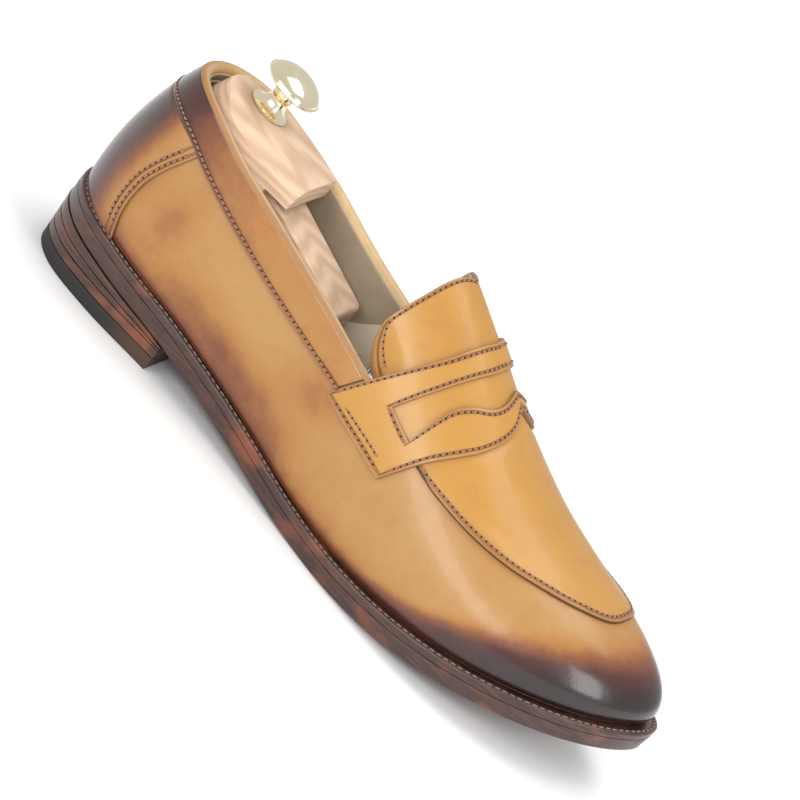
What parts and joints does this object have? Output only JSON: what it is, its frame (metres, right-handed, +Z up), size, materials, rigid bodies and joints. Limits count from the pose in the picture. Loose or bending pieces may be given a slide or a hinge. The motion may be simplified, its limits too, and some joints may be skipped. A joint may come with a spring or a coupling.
{
  "type": "penny loafer",
  "caption": "Slip-on penny loafer with an apron front, a slotted saddle strap, stacked heel and welted sole, fitted with a sprung wooden shoe tree with a mushroom knob.",
  "frame": {"origin": "centre of the footprint's box on the floor, under the arch", "axes": "+X from the heel to the toe, -Y to the outer side of the foot, +Z up"},
  "size_m": [0.2998, 0.0968, 0.1142],
  "materials": {
    "rubber_lift": "matt black rubber, worn brown at the front corner",
    "sole_leather": "dark stained and waxed sole leather",
    "steel": "plain steel",
    "cork": "pressed cork",
    "board": "undyed fibre and leather board",
    "sock": "cream kid lining",
    "tan_calf": "polished tan calf, burnished dark at the edges and toe",
    "dark_calf": "oxblood burnished calf",
    "edge_calf": "pale yellow calf binding",
    "lining_calf": "grey beige lining leather",
    "tree_wood": "planed pale wood, unvarnished",
    "polished_brass": "polished pale brass"
  },
  "bodies": {
    "shoe": {"top_lift": "rubber_lift", "heel_lift_1": "sole_leather", "heel_lift_2": "sole_leather", "heel_lift_3": "sole_leather", "heel_nail_1": "steel", "heel_nail_2": "steel", "heel_nail_3": "steel", "heel_nail_4": "steel", "heel_nail_5": "steel", "outsole": "sole_leather", "welt": "sole_leather", "cork_filler": "cork", "shank": "steel", "insole": "board", "sock_lining": "sock", "vamp_and_quarters": "tan_calf", "apron": "tan_calf", "tongue": "tan_calf", "tongue_lining": "lining_calf", "penny_strap": "tan_calf", "collar_band": "tan_calf", "counter_cover": "dark_calf", "topline_binding": "edge_calf", "quarter_lining": "lining_calf", "vamp_lining": "sock", "counter_stiffener": "board", "toe_puff": "board", "heel_grip": "lining_calf", "tree_centre": "tree_wood", "spread_pin_1": "steel", "spread_pin_2": "steel", "slide_spring": "steel"},
    "tree_carriage": {"tree_heel_block": "tree_wood", "knob_plate": "polished_brass", "knob_head": "polished_brass", "knob_stud": "steel", "tree_arm": "tree_wood", "arm_screw_1": "polished_brass", "arm_screw_2": "polished_brass", "slide_rod": "steel"},
    "outer_toe": {"toe_block_outer": "tree_wood"},
    "inner_toe": {"toe_block_inner": "tree_wood"}
  },
  "joints": [
    {"name": "tree_slide", "type": "slide", "parent": "shoe", "child": "tree_carriage", "axis": [1, 0, 0], "range_m": [0, 0.012], "stiffness_N_per_m": 900, "springref_m": -0.006, "deforming": ["slide_spring"]},
    {"name": "outer_toe_slide", "type": "slide", "parent": "shoe", "child": "outer_toe", "axis": [0, 1, 0], "range_m": [0, 0.003], "stiffness_N_per_m": 600, "springref_m": -0.003},
    {"name": "inner_toe_slide", "type": "slide", "parent": "shoe", "child": "inner_toe", "axis": [0, -1, 0], "range_m": [0, 0.003], "stiffness_N_per_m": 600, "springref_m": -0.003}
  ]
}
